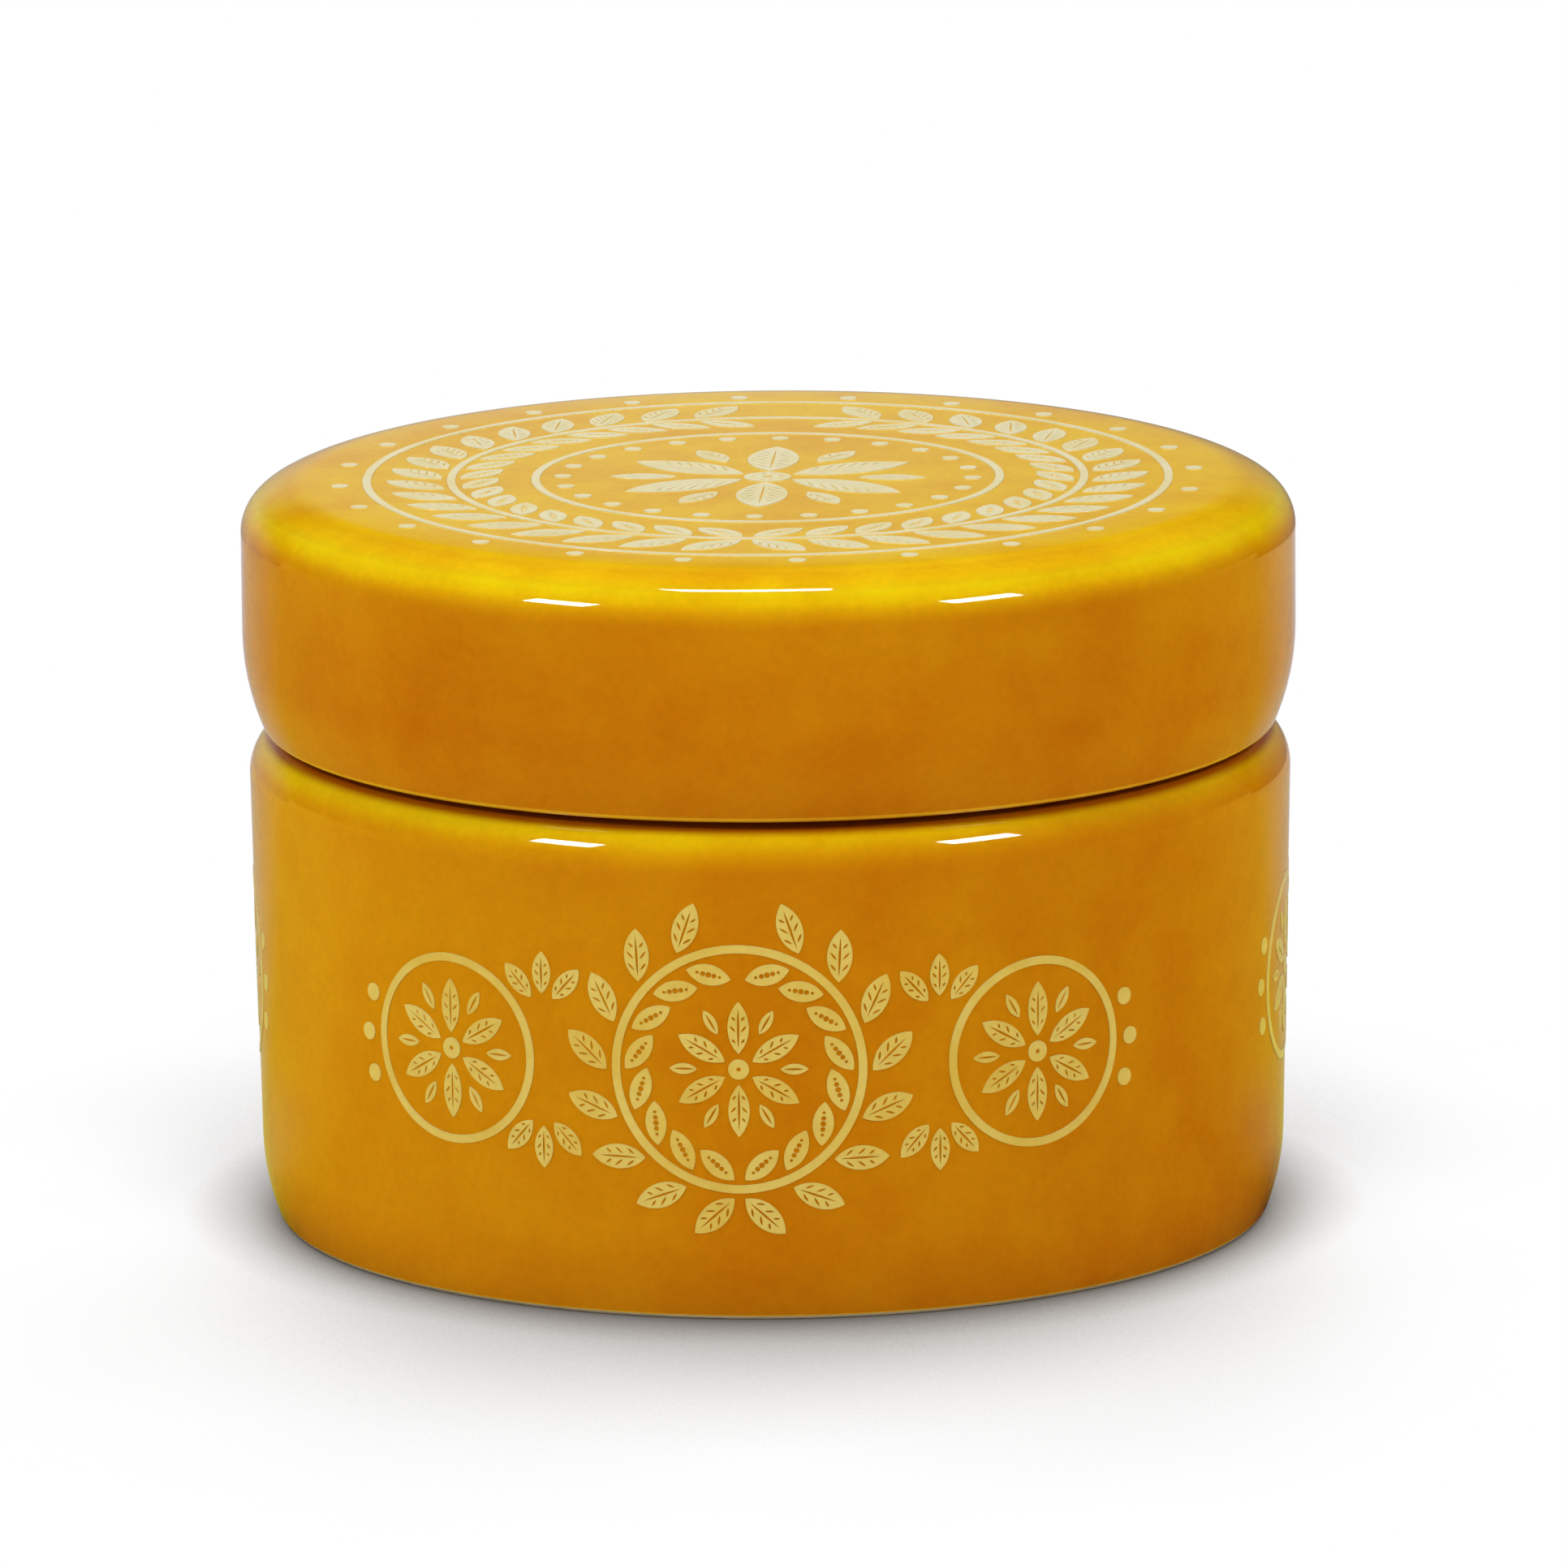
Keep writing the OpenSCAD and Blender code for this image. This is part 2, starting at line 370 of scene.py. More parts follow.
def veined_leaf(l, w, veins):
    """A leaf along +X, with its midrib and pairs of side veins left open."""
    radius = (l ** 2 + w ** 2) / (4 * w)
    slits = [oval(midrib_start * l + 0j, midrib_end * l + 0j, slit_w)]
    for k in range(veins):
        x = l * (midrib_start + (vein_span - midrib_start) * (k + 0.5) / veins)
        root = complex(x, slit_w / 2 + slit_gap)
        reach = 0
        while True:
            tip = root + (reach + vein_step) * cmath.exp(1j * vein_angle)
            edge = math.sqrt(radius ** 2 - (tip.real - l / 2) ** 2) - radius + w / 2
            if edge - tip.imag < vein_margin:
                break
            reach += vein_step
        if reach > vein_min_l:
            tip = root + reach * cmath.exp(1j * vein_angle)
            slits.append(oval(root, tip, slit_w, VEIN_STEPS))
            slits.append(oval(root.conjugate(), tip.conjugate(), slit_w, VEIN_STEPS))
    return shape(oval(0j, l + 0j, w, LEAF_STEPS), *slits)


def beaded_leaf(l, w):
    """A leaf along +X, with a row of round gaps that follows its middle."""
    beads = []
    for k in range(bead_count):
        share = (k + 1) / (bead_count + 1)
        size = bead_d * (bead_least + bead_swell * math.sin(math.pi * share) ** 2) * w / leaf_w
        beads.append(disc(size, l * (bead_start + bead_span * share) + 0j, GAP_STEPS))
    return shape(oval(0j, l + 0j, w, LEAF_STEPS), *beads)


def hub(d):
    """The star's middle: a dot with a round gap, and a ring of small ones where there is room."""
    gaps = [disc(d * hub_gap_share, steps=GAP_STEPS)]
    if d > hub_ring_from_d:
        for k in range(hub_dot_count):
            centre = d * hub_ring_share * cmath.exp(2j * math.pi * k / hub_dot_count)
            gaps.append(disc(d * hub_dot_share, centre, HUB_DOT_STEPS))
    return shape(disc(d, steps=HUB_STEPS), *gaps)


def ring_line(d):
    steps = max(LEAST_RING_STEPS, round(d * RING_STEPS_PER_MM))
    return shape(disc(d + line_w, steps=steps), disc(d - line_w, steps=steps))


def star(d, veins):
    """Six long petals and six short ones round a hub."""
    hub_r = d / 2 * star_hub_share
    petal_l = d / 2 - hub_r - print_gap
    small_l = petal_l * small_petal_share
    long_petal = veined_leaf(petal_l, petal_l * petal_width_share, veins)
    small_petal = veined_leaf(small_l, small_l * petal_width_share, veins // 2)
    flats = [hub(2 * hub_r)]
    for i in range(star_arms):
        turn = 90 + i * 360 / star_arms
        flats.append(moved(moved(long_petal, 0, d / 2 - petal_l), turn))
        flats.append(moved(moved(small_petal, 0, d / 2 - small_l), turn + 180 / star_arms))
    return flats


def wreath(d, steps, l, w, veins):
    """A round stem, and leaves that climb it on both sides from the bottom to the top."""
    outer = veined_leaf(l, w, veins)
    inner = beaded_leaf(inner_leaf_share * l, inner_leaf_share * w)
    flats = [ring_line(d)]
    for i in range(steps):
        for flat, side in ((outer, -1), (inner, 1)):
            grown = moved(flat, side * leaf_spread, 1j * side * (line_w / 2 + print_gap))
            grown = moved(moved(grown, 0, complex(print_gap, -d / 2)), i * branch_angle / steps)
            flats += [grown, mirrored(grown)]
    return flats


def dot_circle(d, start):
    dot = moved(shape(disc(dot_d)), 0, d / 2)
    return [moved(dot, start + i * 360 / dot_count) for i in range(dot_count)]


def fan():
    leaf = veined_leaf(fan_leaf_share * leaf_l, fan_leaf_share * leaf_w, wall_veins)
    return [moved(moved(leaf, 0, dot_d), a) for a in (-fan_spread, 0, fan_spread)]


# Printed layers on the glaze

def on_lid(p):
    tilt = eased_tilt(abs(p), 0)
    out = math.sin(tilt) / max(abs(p), 1)
    return Vector((p.real, p.imag, lid_top_z)), Vector((p.real * out, p.imag * out, math.cos(tilt)))


def on_wall(turn, s, z):
    """Lays a flat shape on the wall, along by s from the print's middle and at height z."""
    def lay(p):
        r = wall_r(z + p.imag)
        a = math.radians(turn) + s / wall_r(z) + math.asin(p.real / r)
        out = Vector((math.sin(a), -math.cos(a), 0))
        normal = out * math.cos(wall_slope) - Vector((0, 0, math.sin(wall_slope)))
        return out * r + Vector((0, 0, z + p.imag)), normal
    return lay


def printed(name, flats, material):
    """One printed layer: each flat shape in it becomes a thin closed solid on the glaze."""
    points, faces, normals = [], [], []
    for flat, lay in flats:
        spots = [lay(p) for p in flat.points]
        top = len(points)
        low = top + len(spots)
        points += [p + n * print_proud for p, n in spots]
        points += [p - n * print_sunk for p, n in spots]
        for t in flat.triangles:
            faces.append([top + i for i in t])
            normals += [spots[i][1] for i in t]
            faces.append([low + i for i in reversed(t)])
            normals += [-spots[i][1] for i in reversed(t)]
        for a, b in flat.rims:
            out = (spots[b][0] - spots[a][0]).cross(spots[a][1]).normalized()
            faces.append([low + a, low + b, top + b, top + a])
            normals += [out, out, spots[b][1], spots[a][1]]
    return make_object(name, points, faces, normals, material)


def lid_flats():
    flats = star(lid_star_d, lid_star_veins) + dot_circle(inner_dots_d, 0) + [ring_line(inner_line_d)]
    flats += wreath(lid_wreath_d, lid_wreath_steps, lid_leaf_l, lid_leaf_w, lid_veins)
    flats += [ring_line(outer_line_d)] + dot_circle(outer_dots_d, 180 / dot_count)
    return [(flat, on_lid) for flat in flats]


def wall_flats(turn):
    """A large medallion between two small ones, with fans of leaves and dots."""
    large = star(star_d, wall_veins) + wreath(wreath_d, wreath_steps, leaf_l, leaf_w, wall_veins)
    flats = [(flat, on_wall(turn, 0, medallion_z)) for flat in large]
    small = star(small_star_d, wall_veins) + [ring_line(small_ring_d)]
    dot = shape(disc(dot_d))
    end_r = small_ring_d / 2 + dot_d + print_gap
    for side in (-1, 1):
        flats += [(flat, on_wall(turn, side * small_s, medallion_z)) for flat in small]
        for up in (-1, 1):
            place = on_wall(turn, side * fan_s, medallion_z + up * fan_z)
            flats += [(moved(flat, up * 90), place) for flat in fan()]
        for a in (-end_dot_spread, 0, end_dot_spread):
            away = end_r * cmath.exp(1j * math.radians(a))
            flats.append((dot, on_wall(turn, side * (small_s + away.real), medallion_z + away.imag)))
    return flats


# Materials

class Nodes:
    """Adds nodes to one node tree, wired or set as they are made."""

    def __init__(self, tree):
        self.tree = tree
        tree.nodes.clear()

    def add(self, kind, inputs, output=0, **settings):
        node = self.tree.nodes.new("ShaderNode" + kind)
        for name, value in settings.items():
            setattr(node, name, value)
        for key, value in inputs.items():
            if isinstance(value, bpy.types.NodeSocket):
                self.tree.links.new(value, node.inputs[key])
            else:
                node.inputs[key].default_value = value
        return node.outputs[output] if node.outputs else node

    def math(self, operation, *values):
        return self.add("Math", dict(enumerate(values)), operation=operation)

    def product(self, first, *others):
        for value in others:
            first = self.math("MULTIPLY", first, value)
        return first

    def swing(self, value, middle, width):
        """A value from 0 to 1 turned into one as wide as width, round middle."""
        return self.math("MULTIPLY_ADD", value, width, middle - width / 2)

    def part(self, vector, axis):
        return self.add("SeparateXYZ", {0: vector}, axis)

    def dot(self, a, b):
        return self.add("VectorMath", {0: a, 1: b}, "Value", operation="DOT_PRODUCT")

    def length(self, vector):
        return self.add("VectorMath", {0: vector}, "Value", operation="LENGTH")

    def grey(self, value):
        return self.add("CombineColor", {0: value, 1: value, 2: value})

    def span(self, value, low, high):
        """0 where value is low, 1 where it is high, and smooth between them."""
        inputs = {"Value": value, "From Min": low, "From Max": high}
        return self.add("MapRange", inputs, interpolation_type="SMOOTHSTEP")

    def mix(self, share, a, b, blend="MIX"):
        return self.add("MixRGB", {"Fac": share, "Color1": a, "Color2": b}, blend_type=blend)

    def noise(self, where, scale, detail=2.0):
        return self.add("TexNoise", {"Vector": where, "Scale": scale, "Detail": detail})

    def ramp(self, value, stops):
        """A colour that runs through stops, each a place from 0 to 1 and a colour."""
        node = self.tree.nodes.new("ShaderNodeValToRGB")
        elements = node.color_ramp.elements
        while len(elements) < len(stops):
            elements.new(1.0)
        for element, (place, colour) in zip(elements, stops):
            element.position = place
            element.color = colour
        self.tree.links.new(value, node.inputs["Fac"])
        return node.outputs["Color"]


def rgb(red, green, blue):
    """A colour as linear shares of light."""
    return (red, green, blue, 1.0)


# Tones of the glaze by how far a surface faces up: 0 faces down, 0.5 is upright and 1 faces up.
# Faces turned up are yellower, partly for thinner glaze on the roundings and partly as painted top
# light; faces turned down are painted pale yellow, a painted reflection of the brighter faces below.
glaze_and_light_tones = [
    (0.0, rgb(0.74, 0.40, 0.015)),
    (0.26, rgb(0.76, 0.45, 0.018)),
    (0.31, rgb(0.60, 0.21, 0.003)),
    (0.42, rgb(0.60, 0.212, 0.002)),
    (0.5, rgb(0.605, 0.228, 0.002)),
    (0.57, rgb(0.62, 0.255, 0.002)),
    (0.685, rgb(0.68, 0.345, 0.002)),
    (0.785, rgb(0.745, 0.47, 0.002)),
    (0.89, rgb(0.745, 0.535, 0.003)),
    (0.92, rgb(0.715, 0.495, 0.003)),
    (0.96, rgb(0.76, 0.455, 0.003)),
    (0.985, rgb(0.76, 0.435, 0.004)),
    (1.0, rgb(0.86, 0.53, 0.006)),
]
# Tones of the print on upright walls and on tops; the tops are painted lighter, as painted top light
cream_and_light_tones = [
    (0.5, rgb(0.73, 0.54, 0.118)),
    (1.0, rgb(0.86, 0.77, 0.46)),
]
thin_cream_and_light_tones = [
    (0.5, rgb(0.70, 0.46, 0.066)),
    (1.0, rgb(0.84, 0.71, 0.33)),
]
clay = rgb(0.58, 0.47, 0.26)
clay_dark = rgb(0.40, 0.31, 0.15)
speck_brown = rgb(0.10, 0.03, 0.005)
# Painted shade in the crease of the seam between the lid and the base
seam_shade_brown = rgb(0.45, 0.16, 0.1)
# Painted sheen: the yellow laid on the left of the base's wall where light grazes it
painted_sheen_yellow = rgb(0.82, 0.46, 0.006)
thick_amber = rgb(0.93, 0.79, 0.9)
mottle_tint = rgb(0.95, 0.86, 0.8)
cloud_tint = rgb(0.965, 0.9, 0.8)
GLAZE_ROUGHNESS = 0.035
PRINT_ROUGHNESS = 0.05
CLAY_ROUGHNESS = 0.75
GLAZE_IOR = 1.5

# Scales and depths of the noises, and the spans of noise that the tints and the print's cover run over
MOTTLE_SCALE = 75.0
MOTTLE_SPAN = (0.32, 0.7)
BLOOM_SCALE = 26.0
BLOOM_WIDTH = 0.14
CLOUD_SCALE = 210.0
CLOUD_SPAN = (0.35, 0.68)
COVER_SCALE = 160.0
COVER_SPAN = (0.35, 0.75)
GRAIN_SCALE = 1400.0
GLAZE_GRAIN = 0.16
PRINT_GRAIN = 0.12
SPECK_SCALE = 95.0
SPECK_RARITY = (0.8, 1.0)
SPECK_SIZE = 0.016
GLAZE_SPECKS = 0.75
PRINT_SPECKS = 0.6
RAGGED_SCALE = 700.0
RAGGED_WIDTH = 0.7
BARE_SPAN = (0.42, 0.58)
CLAY_TONE_SCALE = 350.0
WAVE_SCALE = 40.0
WAVE_DEPTH = 0.00003
PEEL_SCALE = 500.0
PEEL_DEPTH = 0.0000012
CLAY_GRAIN_SCALE = 2500.0
CLAY_GRAIN_DEPTH = 0.00004

# Where the painted sheen, the thick glaze and the painted shade lie, as spans of places in metres, from
# none of it to all of it
SHEEN_LEFT = (0.0, -0.03)
SHEEN_DRIFT = 0.03
SHEEN_BELOW = (0.0425, 0.041)
SHEEN_UPRIGHT = (0.66, 0.55)
SHEEN_LEVEL = 0.16
AMBER_ABOVE = (0.046, 0.0495)
AMBER_BELOW = (0.058, 0.053)
AMBER_LEVEL = 0.5
AMBER_LEFT = (-0.005, -0.024)
AMBER_LEFT_END = (-0.045, -0.034)
AMBER_LEFT_BELOW = (0.0605, 0.0565)
AMBER_LEFT_LEVEL = 0.45
SEAM_INSIDE = (0.0435, 0.0427)
SEAM_ABOVE = (0.0395, 0.0405)
SEAM_BELOW = (0.043, 0.0427)
SHOULDER_RIGHT = (0.0, 0.035)
SHOULDER_BELOW = (0.0425, 0.042)
SHOULDER_FACING = (0.5, 0.58)
SHOULDER_LEVEL = 0.12


def new_material(name):
    material = bpy.data.materials.new(name)
    material.use_nodes = True
    return material, Nodes(material.node_tree)


def glaze_surface(nodes, where):
    """The glaze's slow waviness and its fine orange peel, as a shading normal."""
    wave = nodes.add("Bump", {"Height": nodes.noise(where, WAVE_SCALE, 1.0), "Distance": WAVE_DEPTH})
    peel = nodes.noise(where, PEEL_SCALE)
    return nodes.add("Bump", {"Height": peel, "Distance": PEEL_DEPTH, "Normal": wave})


def specks(nodes, where):
    """1 in sparse pin specks, each a third of a millimetre or less across, and 0 elsewhere."""
    cells = nodes.add("TexVoronoi", {"Vector": where, "Scale": SPECK_SCALE})
    pick = nodes.add("TexVoronoi", {"Vector": where, "Scale": SPECK_SCALE}, "Color")
    chosen = nodes.add("SeparateColor", {0: pick})
    size = nodes.math("MULTIPLY", nodes.span(chosen, *SPECK_RARITY), SPECK_SIZE)
    return nodes.math("LESS_THAN", cells, size)


def upward_share(nodes):
    """0 where a surface faces down, 0.5 where it is upright, 1 where it faces up."""
    facing = nodes.part(nodes.add("NewGeometry", {}, "Normal"), "Z")
    return nodes.math("MULTIPLY_ADD", facing, 0.5, 0.5)


def left_sheen_share(nodes, where, up):
    """How much painted sheen lies on the left of the base's wall, where it is painted a little more
    yellow.
    """
    drift = nodes.swing(nodes.noise(where, BLOOM_SCALE), 0, SHEEN_DRIFT)
    left = nodes.span(nodes.math("ADD", nodes.part(where, "X"), drift), *SHEEN_LEFT)
    on_base = nodes.span(nodes.part(where, "Z"), *SHEEN_BELOW)
    return nodes.product(left, on_base, nodes.span(up, *SHEEN_UPRIGHT), SHEEN_LEVEL)


def thick_share(nodes, where):
    """How thick the glaze runs in a band round the lid's wall, more on its left and higher up there."""
    height = nodes.part(where, "Z")
    across = nodes.part(where, "X")
    band = nodes.product(nodes.span(height, *AMBER_BELOW), AMBER_LEVEL)
    left = nodes.product(nodes.span(across, *AMBER_LEFT), nodes.span(across, *AMBER_LEFT_END))
    left = nodes.product(left, nodes.span(height, *AMBER_LEFT_BELOW))
    both = nodes.math("MULTIPLY_ADD", left, AMBER_LEFT_LEVEL, band)
    return nodes.product(both, nodes.span(height, *AMBER_ABOVE))


def seam_shade_share(nodes, where):
    """How much painted shade darkens the glaze close to the seam, in the crease between the lid and the
    base.
    """
    height = nodes.part(where, "Z")
    flat = nodes.add("VectorMath", {0: where, 1: (1, 1, 0)}, operation="MULTIPLY")
    inside = nodes.span(nodes.length(flat), *SEAM_INSIDE)
    return nodes.product(inside, nodes.span(height, *SEAM_ABOVE), nodes.span(height, *SEAM_BELOW))


def shoulder_shade_shift(nodes, where, up):
    """How much more upright the base's shoulder is coloured on the right, so it takes less painted top
    light: painted shade there.
    """
    right = nodes.span(nodes.part(where, "X"), *SHOULDER_RIGHT)
    on_base = nodes.span(nodes.part(where, "Z"), *SHOULDER_BELOW)
    return nodes.product(right, on_base, nodes.span(up, *SHOULDER_FACING), SHOULDER_LEVEL)


def grained(nodes, where, tone, width, speck_level):
    """The tone with fine grain and sparse brown specks in it."""
    grain = nodes.swing(nodes.noise(where, GRAIN_SCALE, 1.0), 1, width)
    tone = nodes.mix(1.0, tone, nodes.grey(grain), "MULTIPLY")
    return nodes.mix(nodes.product(specks(nodes, where), speck_level), tone, speck_brown)


def finish_surface(nodes, **inputs):
    shader = nodes.add("BsdfPrincipled", {key.replace("_", " "): value for key, value in inputs.items()})
    nodes.add("OutputMaterial", {"Surface": shader})


def make_glaze():
    """Mustard glaze, amber on walls and yellow on roundings, with painted light in its tone; bare clay
    where wiped off.
    """
    material, nodes = new_material("mustard_glaze")
    where = nodes.add("TexCoord", {}, "Object")
    bloom = nodes.swing(nodes.noise(where, BLOOM_SCALE), 0, BLOOM_WIDTH)
    up = upward_share(nodes)
    # Tone by facing, with painted top light and a painted reflection in it; the shoulder's right is
    # shifted to paint shade there.
    tone = nodes.ramp(nodes.math("SUBTRACT", up, shoulder_shade_shift(nodes, where, up)), glaze_and_light_tones)
    mottle = nodes.math("ADD", nodes.noise(where, MOTTLE_SCALE, 3.0), bloom)
    tone = nodes.mix(nodes.span(mottle, *MOTTLE_SPAN), tone, mottle_tint, "MULTIPLY")
    clouds = nodes.span(nodes.noise(where, CLOUD_SCALE, 3.0), *CLOUD_SPAN)
    tone = nodes.mix(clouds, tone, cloud_tint, "MULTIPLY")
    tone = nodes.mix(thick_share(nodes, where), tone, thick_amber, "MULTIPLY")
    # Painted sheen on the left of the base's wall
    tone = nodes.mix(left_sheen_share(nodes, where, up), tone, painted_sheen_yellow)
    # Painted shade in the seam's crease
    tone = nodes.mix(seam_shade_share(nodes, where), tone, seam_shade_brown, "MULTIPLY")
    tone = grained(nodes, where, tone, GLAZE_GRAIN, GLAZE_SPECKS)
    ragged = nodes.swing(nodes.noise(where, RAGGED_SCALE, 3.0), 0, RAGGED_WIDTH)
    wiped = nodes.add("Attribute", {}, "Fac", attribute_name="wiped")
    bare = nodes.span(nodes.math("ADD", wiped, ragged), *BARE_SPAN)
    clay_tone = nodes.mix(nodes.noise(where, CLAY_TONE_SCALE, 4.0), clay, clay_dark)
    rough = nodes.math("MULTIPLY_ADD", bare, CLAY_ROUGHNESS - GLAZE_ROUGHNESS, GLAZE_ROUGHNESS)
    grit = nodes.product(nodes.noise(where, CLAY_GRAIN_SCALE, 3.0), bare)
    smooth = glaze_surface(nodes, where)
    normal = nodes.add("Bump", {"Height": grit, "Distance": CLAY_GRAIN_DEPTH, "Normal": smooth})
    tone = nodes.mix(bare, tone, clay_tone)
    finish_surface(nodes, Base_Color=tone, Roughness=rough, IOR=GLAZE_IOR, Normal=normal)
    return material


def make_print():
    """Cream transfer: nearly opaque, the glaze's yellow showing through in clouds; painted lighter on
    tops as top light.
    """
    material, nodes = new_material("cream_print")
    where = nodes.add("TexCoord", {}, "Object")
    cover = nodes.span(nodes.noise(where, COVER_SCALE, 3.0), *COVER_SPAN)
    up = upward_share(nodes)
    tone = nodes.mix(cover, nodes.ramp(up, cream_and_light_tones), nodes.ramp(up, thin_cream_and_light_tones))
    tone = grained(nodes, where, tone, PRINT_GRAIN, PRINT_SPECKS)
    normal = glaze_surface(nodes, where)
    finish_surface(nodes, Base_Color=tone, Roughness=PRINT_ROUGHNESS, IOR=GLAZE_IOR, Normal=normal)
    return material


# Stage: camera, lights and floor. Lengths here are in metres, and angles are taken round the box
# from the camera's own side, positive towards its right.
CAMERA_AZIMUTH = math.radians(3.65)
CAMERA_PITCH = math.radians(12.062)
CAMERA_ROLL = math.radians(-0.5)
CAMERA_DISTANCE = 1.35
CAMERA_HEIGHT = 0.3252
CAMERA_ASIDE = 0.00117
CAMERA_LENS = 370.1
CAMERA_CLIP_END = 20.0
BACK = Vector((-math.sin(CAMERA_AZIMUTH), math.cos(CAMERA_AZIMUTH), 0))


def back_turned(degrees):
    """The level direction that points back from the camera, turned to its left by degrees."""
    return Matrix.Rotation(math.radians(degrees), 3, "Z") @ BACK


# Light from the room: dim in gloss, and a fill that is dimmer before the box than behind it. The floor
# gives FLOOR_BOUNCE of it back.
ROOM_SEEN_IN_GLOSS = 0.012
FILL_BEFORE = 0.185
FILL_BEHIND = 0.7
FILL_RISE = (-0.8, 0.2)
FILL_SIDE = back_turned(15)
FLOOR_BOUNCE = 0.75
FLOOR_REACH = 3.0

# The floor as the glaze's gloss sees it: bright behind the box, dim beside it and warm where it is lit.
# Spans are of the share of a direction from the box that points back, or of metres from its middle.
GLOSS_NEAR = (0.5, 0.9)
GLOSS_NEAR_LEVEL = 0.3
GLOSS_FAR = (0.88, 0.985)
GLOSS_FAR_LEVEL = 0.35
GLOSS_BESIDE = (-0.05, 0.3)
GLOSS_BESIDE_REACH = (0.1, 0.06)
GLOSS_BESIDE_LEVEL = 0.1
GLOSS_WARM = (-0.3, 0.45)
warm_floor = rgb(0.54, 0.49, 0.035)
WARM_SIDE = back_turned(7)

# Each part of the floor's shadow: how far it reaches, how far its open sky leans over in degrees and
# to which side, from the back towards the right, and its tones from closed in to open
SHADOW_SAMPLES = 8
floor_shadows = [
    (0.008, 8, 180, [
        (0.25, rgb(0.50, 0.48, 0.46)),
        (0.4, rgb(0.525, 0.505, 0.485)),
        (0.5, rgb(0.56, 0.54, 0.52)),
        (0.6, rgb(0.64, 0.62, 0.605)),
        (0.7, rgb(0.765, 0.75, 0.735)),
        (0.85, rgb(0.885, 0.875, 0.865)),
        (1.0, rgb(1.0, 1.0, 1.0)),
    ]),
    (0.09, 65, 0, [
        (0.3, rgb(0.27, 0.25, 0.235)),
        (0.45, rgb(0.42, 0.395, 0.37)),
        (0.55, rgb(0.67, 0.645, 0.62)),
        (0.65, rgb(0.93, 0.915, 0.905)),
        (0.74, rgb(1.0, 1.0, 1.0)),
    ]),
    (0.06, 40, 180, [
        (0.3, rgb(0.40, 0.38, 0.37)),
        (0.45, rgb(0.52, 0.50, 0.49)),
        (0.55, rgb(0.67, 0.65, 0.64)),
        (0.65, rgb(0.87, 0.855, 0.85)),
        (0.73, rgb(1.0, 1.0, 1.0)),
    ]),
]

# The reflector card behind the box: lengths in metres, and how bright it is and how it fades
CARD_TOP = 0.21
CARD_FADE_FROM = 0.09
CARD_LEVEL = 0.38
CARD_FADE_POWER = 2.4
CARD_HALF_W = 0.4
CARD_FULL_HALF_W = 0.12
CARD_X = -0.05
CARD_BEHIND = 0.3
CARD_RIGHT = (-0.04, 0.06)
CARD_RIGHT_LOSS = 0.5

# Soft boxes: azimuth and elevation in degrees, distance, width and height in metres, and radiance
soft_boxes = {
    "left_soft_box": (-52, 38.5, 1.17, 0.27, 0.18, 38.7),
    "right_soft_box": (53.5, 38.5, 1.17, 0.31, 0.18, 33.4),
    "top_soft_box": (188, 77, 1.3, 0.33, 0.17, 21.0),
}


def around(azimuth, elevation, distance):
    """The place that far from the box's middle in that direction."""
    a = CAMERA_AZIMUTH + math.radians(azimuth)
    e = math.radians(elevation)
    away = Vector((math.sin(a) * math.cos(e), -math.cos(a) * math.cos(e), math.sin(e)))
    return Vector((0, 0, lid_top_z * MM)) + distance * away


def add_camera():
    data = bpy.data.cameras.new("camera")
    data.lens = CAMERA_LENS
    data.clip_end = CAMERA_CLIP_END
    camera = bpy.data.objects.new("camera", data)
    bpy.context.scene.collection.objects.link(camera)
    turn = Matrix.Rotation(CAMERA_AZIMUTH, 4, "Z")
    tilt = Matrix.Rotation(math.pi / 2 - CAMERA_PITCH, 4, "X")
    place = turn @ Vector((CAMERA_ASIDE, -CAMERA_DISTANCE, CAMERA_HEIGHT))
    camera.matrix_world = Matrix.Translation(place) @ turn @ tilt @ Matrix.Rotation(CAMERA_ROLL, 4, "Z")
    bpy.context.scene.camera = camera


def add_soft_box(name, azimuth, elevation, distance, width, height, radiance):
    data = bpy.data.lights.new(name, "AREA")
    data.shape = "RECTANGLE"
    data.size = width
    data.size_y = height
    data.energy = radiance * math.pi * width * height
    light = bpy.data.objects.new(name, data)
    light.location = around(azimuth, elevation, distance)
    aim = Vector((0, 0, lid_top_z * MM)) - light.location
    light.rotation_euler = aim.to_track_quat("-Z", "Y").to_euler()
    light.visible_camera = False
    bpy.context.scene.collection.objects.link(light)


def add_world():
    """White to the camera, dim to reflections, and a soft fill for everything else."""
    world = bpy.data.worlds.new("room")
    bpy.context.scene.world = world
    world.use_nodes = True
    nodes = Nodes(world.node_tree)
    backdrop = nodes.add("Background", {"Color": rgb(1, 1, 1), "Strength": 1.0})
    room = nodes.add("Background", {"Color": rgb(1, 1, 1), "Strength": ROOM_SEEN_IN_GLOSS})
    share = nodes.span(nodes.dot(nodes.add("TexCoord", {}), FILL_SIDE), *FILL_RISE)
    level = nodes.math("MULTIPLY_ADD", share, FILL_BEHIND - FILL_BEFORE, FILL_BEFORE)
    fill = nodes.add("Background", {"Color": rgb(1, 1, 1), "Strength": level})
    seen = nodes.add("MixShader", {0: nodes.add("LightPath", {}, "Is Glossy Ray"), 1: fill, 2: room})
    seen = nodes.add("MixShader", {0: nodes.add("LightPath", {}, "Is Camera Ray"), 1: seen, 2: backdrop})
    nodes.add("OutputWorld", {"Surface": seen})


def sheet_object(name, corners, material):
    mesh = bpy.data.meshes.new(name)
    mesh.from_pydata(corners, [], [list(range(len(corners)))])
    mesh.materials.append(material)
    obj = bpy.data.objects.new(name, mesh)
    bpy.context.scene.collection.objects.link(obj)
    return obj


